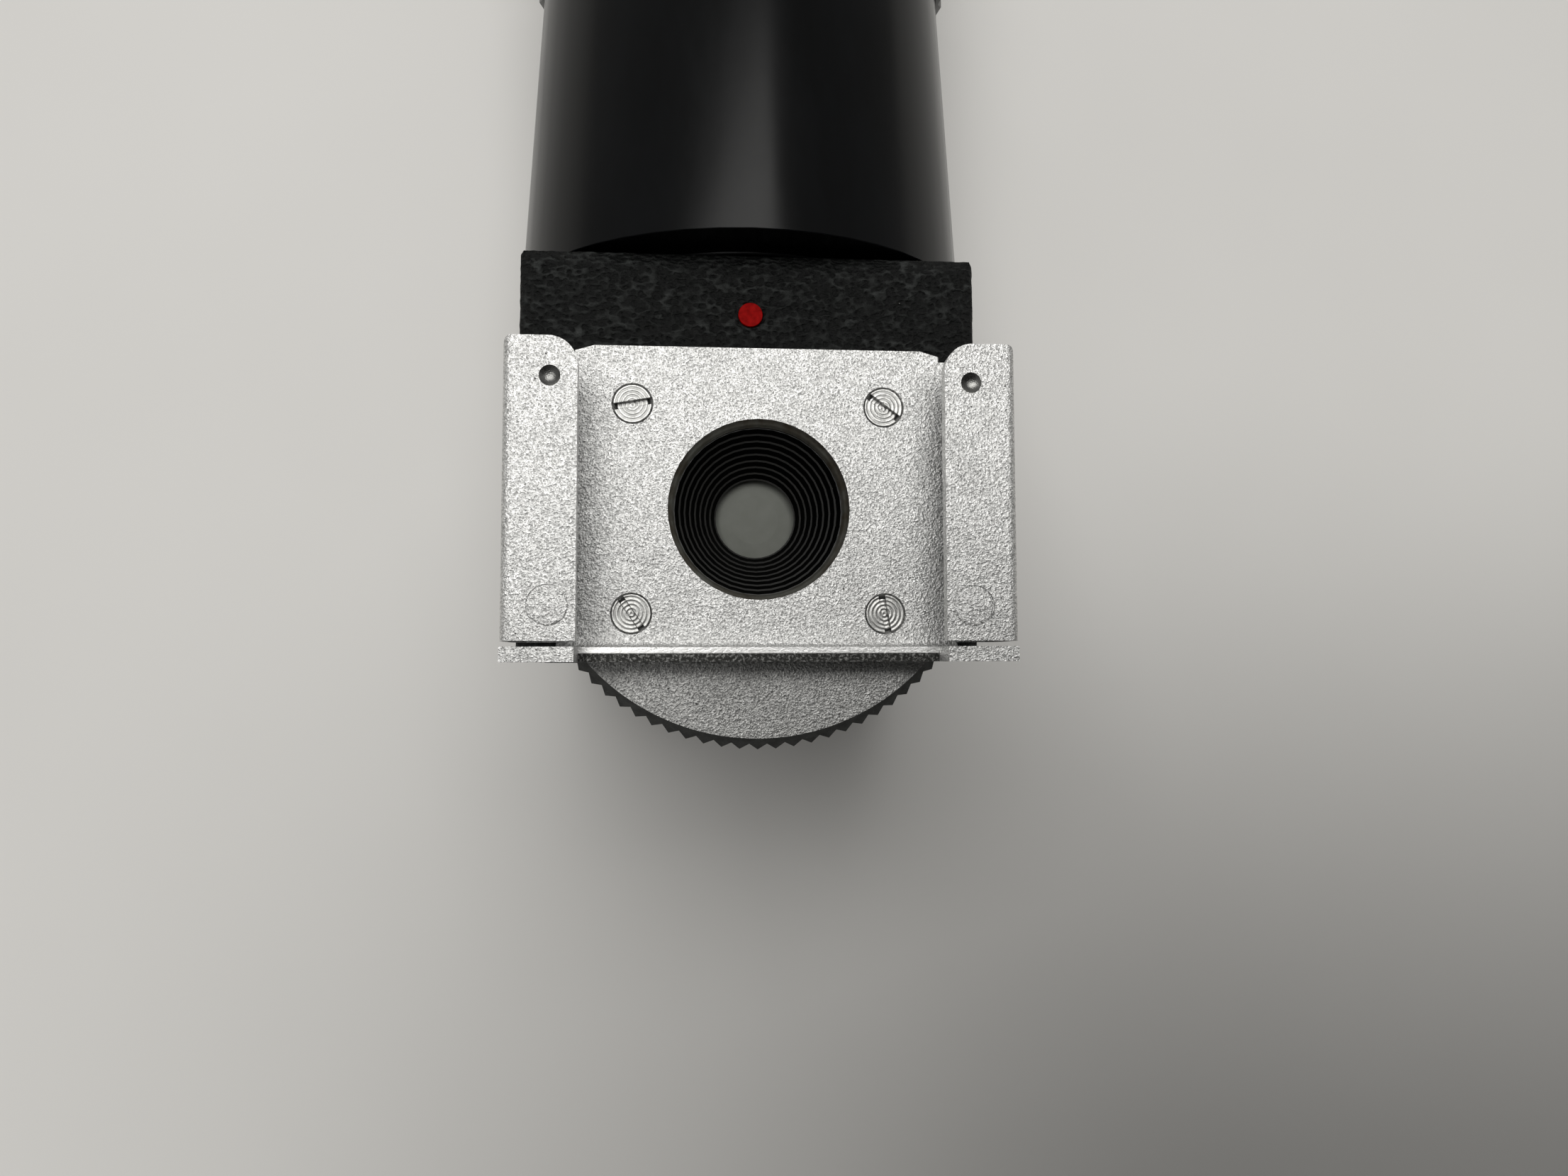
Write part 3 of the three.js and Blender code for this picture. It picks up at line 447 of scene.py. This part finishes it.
def objective_painted_light():
    """The lens behind the aperture: a pale matte colour that paints in the light of the eyepiece end seen
    through it.
    """
    g = Graph("objective_painted_light")
    haze = g.noise(1.2 * MM, 2.0)
    g.set(
        # The pale base is painted light: it stands for the eyepiece end's light seen through the lens.
        Base_Color=g.mix(g.span(haze, 0.3, 0.7), (0.165, 0.172, 0.155), (0.185, 0.192, 0.175)),
        Roughness=g.span(haze, 0.3, 0.7, 0.5, 0.6),
        Normal=g.bump(haze, 0.002 * MM, 0.1),
    )
    g.set(Specular_IOR_Level=0.03)
    return g.material


def coated_glass():
    g = Graph("coated_glass")
    haze = g.noise(2.0 * MM, 3.0)
    g.set(
        Base_Color=g.mix(g.span(haze, 0.3, 0.7), (0.80, 0.84, 0.92), (0.88, 0.90, 0.95)),
        Roughness=g.span(haze, 0.4, 0.8, 0.01, 0.05),
        Normal=g.bump(haze, 0.001 * MM, 0.1),
    )
    g.set(Transmission_Weight=1.0, IOR=1.52, Coat_Weight=0.6, Coat_Tint=(0.55, 0.5, 1.0, 1.0))
    return g.material


def black_rubber():
    g = Graph("black_rubber")
    skin = g.noise(0.18 * MM, 4.0, 0.6)
    bloom = g.noise(3.0 * MM, 4.0)
    tone = g.mix(g.span(bloom, 0.35, 0.75), (0.012, 0.012, 0.012), (0.030, 0.029, 0.028))
    g.set(
        Base_Color=tone,
        Roughness=g.span(bloom, 0.3, 0.7, 0.55, 0.72),
        Normal=g.bump(skin, 0.02 * MM, 0.6),
    )
    return g.material


def pale_floor():
    g = Graph("pale_floor")
    cloud = g.noise(60 * MM, 3.0)
    grain = g.noise(0.5 * MM, 2.0)
    dust = g.specks(14 * MM, 0.25 * MM, 0.3)
    tone = g.mix(g.span(cloud, 0.3, 0.7), (0.71, 0.70, 0.68), (0.74, 0.73, 0.71))
    g.set(
        Base_Color=g.mix(g.math("MULTIPLY", dust, 0.25), tone, (0.3, 0.29, 0.28)),
        Roughness=0.55,
        Normal=g.bump(grain, 0.01 * MM, 0.2),
    )
    return g.material


# ---------------------------------------------------------------- shapes
def make_floor():
    """A wide pale table top just under the finder."""
    half = 1.5
    floor_gap = 0.00002
    mesh = bpy.data.meshes.new("floor")
    corners = [(-half, -half, 0.0), (half, -half, 0.0), (half, half, 0.0), (-half, half, 0.0)]
    mesh.from_pydata(corners, [], [(0, 1, 2, 3)])
    floor = bpy.data.objects.new("floor", mesh)
    floor.location.z = cad_box[0].z - floor_gap
    bpy.context.scene.collection.objects.link(floor)
    mesh.materials.append(pale_floor())


def link(name, mesh, body, slot, *nodes):
    made = bpy.data.objects.new(name, mesh)
    bpy.context.scene.collection.objects.link(made)
    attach(made, body)
    if nodes:
        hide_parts(*nodes)
    return made


def welded(node):
    """A copy of a CAD node's mesh with its faces joined at shared corners."""
    made = bmesh.new()
    made.from_mesh(frame["nodes"][node].data)
    bmesh.ops.remove_doubles(made, verts=made.verts, dist=2e-7)
    bmesh.ops.dissolve_limit(
        made, angle_limit=math.radians(0.4), verts=made.verts, edges=made.edges, delimit=set()
    )
    return made


def finished_mesh(made, name, materials, smooth_angle=32.0):
    mesh = bpy.data.meshes.new(name)
    made.to_mesh(mesh)
    made.free()
    mesh.polygons.foreach_set("use_smooth", [True] * len(mesh.polygons))
    mesh.set_sharp_from_angle(angle=math.radians(smooth_angle))
    for material in materials:
        mesh.materials.append(material)
    return mesh


def weigh_edges(mesh, share):
    """Marks each sharp edge with the share of the full bevel that share(middle) gives it."""
    shape = bmesh.new()
    shape.from_mesh(mesh)
    weight = shape.edges.layers.float.new("bevel_weight_edge")
    for edge in shape.edges:
        if len(edge.link_faces) == 2 and edge.calc_face_angle() > SHARP_EDGE:
            edge[weight] = share((edge.verts[0].co + edge.verts[1].co) / 2)
    shape.to_mesh(mesh)
    shape.free()


def rounded(name, node, body, slot, materials, width, segments=2, crisp=False, edge_share=None):
    """A piece with the CAD node's shape and its sharp edges rounded off.

    A crisp one smooths less, for a piece of many narrow faces. edge_share(middle) is an edge's share of
    the width.
    """
    mesh = finished_mesh(welded(node), name, materials, 20.0 if crisp else 32.0)
    made = link(name, mesh, body, slot, node)
    bevel = made.modifiers.new("edges", "BEVEL")
    bevel.width = width
    bevel.segments = segments
    bevel.limit_method = "ANGLE"
    bevel.angle_limit = SHARP_EDGE
    bevel.use_clamp_overlap = True
    if edge_share is not None:
        weigh_edges(mesh, edge_share)
        bevel.limit_method = "WEIGHT"
    if crisp:
        return made
    weighted = made.modifiers.new("shading", "WEIGHTED_NORMAL")
    weighted.keep_sharp = True
    weighted.weight = 90
    return made


def crinkled(name, node, body, material, voxel, depth):
    """A piece with the CAD node's shape under a thick coat, whose wrinkles sink in from the CAD's face."""
    mesh = finished_mesh(welded(node), name, [material])
    made = link(name, mesh, body, "crinkle_black", node)
    bevel = made.modifiers.new("edges", "BEVEL")
    bevel.width = 0.15 * MM
    bevel.segments = 2
    bevel.limit_method = "ANGLE"
    bevel.angle_limit = SHARP_EDGE
    remesh = made.modifiers.new("coat", "REMESH")
    remesh.mode = "VOXEL"
    remesh.voxel_size = voxel
    remesh.use_smooth_shade = True
    for label, size, share in (("blisters", 0.60 * MM, 0.5), ("wrinkles", 0.34 * MM, 0.5)):
        folds = bpy.data.textures.new(f"{name}_{label}", "CLOUDS")
        folds.noise_scale = size
        folds.noise_depth = 1
        displace = made.modifiers.new(label, "DISPLACE")
        displace.texture = folds
        displace.texture_coords = "LOCAL"
        displace.mid_level = 1.3
        displace.strength = depth * share
    return made


def paint_faces(made, slot, chosen):
    """Gives the faces that chosen(middle, normal) picks the material at the given place in the list."""
    for polygon in made.data.polygons:
        if chosen(polygon.center, polygon.normal):
            polygon.material_index = slot


def repaint(node, material):
    """A CAD node that stays gets a better material."""
    mesh = frame["nodes"][node].data
    mesh.materials.clear()
    mesh.materials.append(material)


# ---------------------------------------------------------------- pieces
def make_finishes():
    """The materials that more than one piece uses."""
    return {
        "chrome": satin_chrome("satin_chrome", (0.96, 0.96, 0.95), (0.86, 0.86, 0.85)),
        "steel": turned_steel("bright_steel", (0.62, 0.62, 0.605), 0.34),
        "spring": plain_metal("spring_steel", (0.45, 0.45, 0.44), 0.32),
        "brass": plain_metal("brass", (0.58, 0.42, 0.16), 0.3),
        "anodised": black_anodised("black_anodised", 0.0018, 0.005, 0.3),
        "crinkle": crinkle_black(),
        "gloss": gloss_black(),
        "glass": coated_glass(),
    }


def plate_edge(at):
    """An edge of the mount plate's share of the rounding: least round the screws, most on the end bars."""
    if min((at - screw).xy.length for screw in PLATE_SCREWS) < 1.8 * MM:
        return 0.09
    if (at - BORE).xy.length < 6.2 * MM:
        return 0.3
    on_end_bar = at.z > BORE.z + 3.9 * MM and at.y < LOWER_EDGE + 1.0 * MM
    return 1.0 if on_end_bar else 0.42


def on_sheared_edge(at, normal):
    """The top of the stop flap's low middle stretch."""
    flap_rise = 1.6 * MM
    return normal.z > 0.9 and in_flap(at) and abs(at.z - BORE.z - flap_rise) < 0.1 * MM


def in_flap(at):
    return at.y < LOWER_EDGE + 1.6 * MM


def in_bore(at, normal):
    return abs(normal.z) < 0.9 and (at - BORE).xy.length < 5.9 * MM


def on_shaded_chrome(at, normal):
    """The lips' undersides, the rails' inner walls and the stop flap's front, which get a dark chrome as
    painted shade.
    """
    lip_back = LIP_FRONT - SHEET
    under_lip = normal.z < -0.5 and abs(at.x) > 10.9 * MM and abs(at.z - lip_back) < 0.1 * MM
    faces_inwards = normal.x * at.x < 0 and abs(normal.x) > 0.5
    wall = faces_inwards and abs(at.x) > 13.5 * MM and not in_flap(at)
    flap_front = normal.y < -0.5 and in_flap(at)
    return under_lip or wall or flap_front


def in_punch(at, normal):
    """The wall of the punch mark near the top of each lip, painted darker as shade in the recess."""
    near = min((at - punch).xy.length for punch in PUNCHES) < 0.9 * MM
    below_lip = LIP_FRONT - at.z
    return near and normal.z < 0.99 and 0.02 * MM < below_lip < 0.7 * MM


def make_plate(chrome):
    # A dark copy of the chrome: painted shade on the lips' undersides, the rails' inner walls and the flap's
    # front.
    shaded_chrome = satin_chrome("shaded_chrome", (0.24, 0.24, 0.24), (0.18, 0.18, 0.18), 0.46)
    # Steel with the punch's rings, its dark tone a painted shade in the recess.
    punch_shade_steel = turned_steel("punch_shade_chrome", (0.30, 0.30, 0.29), 0.20)
    metals = [chrome, cut_edge(), turned_bore(), shaded_chrome, punch_shade_steel]
    look = ("mount_plate_look", "mount_plate", "mount_head", "satin_chrome", metals, 0.34 * MM, 3)
    plate = rounded(*look, edge_share=plate_edge)
    for slot, chosen in enumerate((on_sheared_edge, in_bore, on_shaded_chrome, in_punch), start=1):
        paint_faces(plate, slot, chosen)


def rivet_shape(place, radius, depth):
    """A low disc with a rounded edge, its top at place."""
    sides = 64
    profile = [
        (radius, -depth),
        (radius, -0.35 * depth),
        (radius - 0.03 * MM, -0.1 * depth),
        (radius - 0.10 * MM, 0.0),
    ]
    turns = [2 * math.pi * k / sides for k in range(sides)]
    shape = bmesh.new()
    rings = []
    for reach, rise in profile:
        ring = [Vector((reach * math.cos(turn), reach * math.sin(turn), rise)) for turn in turns]
        rings.append([shape.verts.new(place + corner) for corner in ring])
    for low, high in zip(rings, rings[1:]):
        for k in range(sides):
            after = (k + 1) % sides
            shape.faces.new((low[k], low[after], high[after], high[k]))
    shape.faces.new(rings[-1])
    shape.faces.new(rings[0][::-1])
    return shape


def make_rivets(chrome):
    """The round marks near the bottom of the lips, each in a narrow moat."""
    for label, side in (("left", -1), ("right", 1)):
        place = BORE + Vector((side * LIP_MARK_X, -6.35 * MM, LIP_RISE - 0.01 * MM))
        shape = rivet_shape(place, 1.17 * MM, 0.07 * MM)
        mesh = finished_mesh(shape, f"rivet_{label}", [chrome])
        link(f"rivet_{label}", mesh, "mount_head", "satin_chrome")


def make_flange():
    """The knurled flange: its face a darker copy of the chrome as painted shade, and everything outside the
    face near black as a painted dark reflection.
    """
    face_radius = 14.35 * MM
    # A darker copy of the satin chrome: painted shade on the flange's face below the flap.
    shaded_face_chrome = satin_chrome("flange_shaded_chrome", (0.62, 0.62, 0.61), (0.52, 0.52, 0.51), 0.46)
    metals = [shaded_face_chrome, knurl_dark_reflection()]
    flange = rounded("knurled_flange_look", "knurled_flange", "mount_head", "satin_chrome", metals, 0.03 * MM)
    paint_faces(flange, 1, lambda at, n: (at - BORE).xy.length > face_radius and n.z < 0.95)


def make_screws(steel):
    edge = 0.025 * MM
    for i in range(1, 5):
        rounded(f"mount_screw_{i}_look", f"mount_screw_{i}", "mount_head", "bright_steel", [steel], edge)
        rounded(f"cover_screw_{i}_look", f"cover_screw_{i}", "finder_body", "bright_steel", [steel], edge)


def make_funnel():
    """The stepped funnel, its walls dead black and the lands of its steps, which face up, a little paler as
    painted light.
    """
    blacks = [
        black_anodised("funnel_black", 0.0004, 0.0010, 0.05),
        # Paler black for the lands that face up: painted light.
        black_anodised("lit_land_black", 0.015, 0.030, 0.5),
    ]
    look = ("entrance_baffle_look", "entrance_baffle", "mount_head", "black_anodised", blacks, 0.012 * MM, 1)
    funnel = rounded(*look, crisp=True)
    paint_faces(funnel, 1, lambda at, n: n.z > 0.7)


def make_body(finish):
    """The housing, its cover, the tube and what is seen on and in them."""
    crinkled("prism_housing_look", "prism_housing", "finder_body", finish["crinkle"], 0.30 * MM, 0.14 * MM)
    crinkled("rear_cover_look", "rear_cover", "finder_body", finish["crinkle"], 0.24 * MM, 0.06 * MM)
    pieces = (
        ("eyepiece_tube", "finder_body", "gloss_black", finish["gloss"], 0.08, 3),
        ("diopter_ring", "diopter_ring", "gloss_black", finish["gloss"], 0.03, 2),
        ("eyecup", "lens_cell", "black_rubber", black_rubber(), 0.15, 3),
        ("index_dot", "finder_body", "red_enamel", red_enamel(), 0.04, 2),
        ("swivel_collar", "finder_body", "black_anodised", finish["anodised"], 0.06, 2),
        ("ring_retainer", "finder_body", "black_anodised", finish["anodised"], 0.06, 2),
        ("lens_cell", "lens_cell", "black_anodised", finish["anodised"], 0.06, 2),
        ("lens_retainer", "lens_cell", "black_anodised", finish["anodised"], 0.06, 2),
        ("eye_lens_front", "lens_cell", "optical_glass", finish["glass"], 0.05, 1),
        ("eye_lens_rear", "lens_cell", "optical_glass", finish["glass"], 0.05, 1),
    )
    for node, body, slot, material, edge_mm, segments in pieces:
        rounded(f"{node}_look", node, body, slot, [material], edge_mm * MM, segments)


def repaint_inner_nodes(finish):
    """The CAD nodes that stay, most of them inside the finder."""
    nodes = {
        "anodised": ("lens_seat_ring", "prism_cradle", "field_stop", "lens_seat", "lens_spacer"),
        "brass": ("hub_nut", "tube_nut"),
        "spring": ("friction_washer", "detent_spring_1", "detent_spring_2", "prism_clamp"),
        "steel": ("detent_ball_1", "detent_ball_2", "clamp_screw_1", "clamp_screw_2", "cam_pin"),
        "glass": ("roof_prism",),
    }
    for name, members in nodes.items():
        for node in members:
            repaint(node, finish[name])
    repaint("objective_lens", objective_painted_light())


def make_pieces():
    finish = make_finishes()
    make_plate(finish["chrome"])
    make_rivets(finish["chrome"])
    make_flange()
    make_screws(finish["steel"])
    make_funnel()
    make_body(finish)
    repaint_inner_nodes(finish)


make_camera()
make_floor()
make_world()
make_lights()
make_pieces()

bpy.context.view_layer.update()
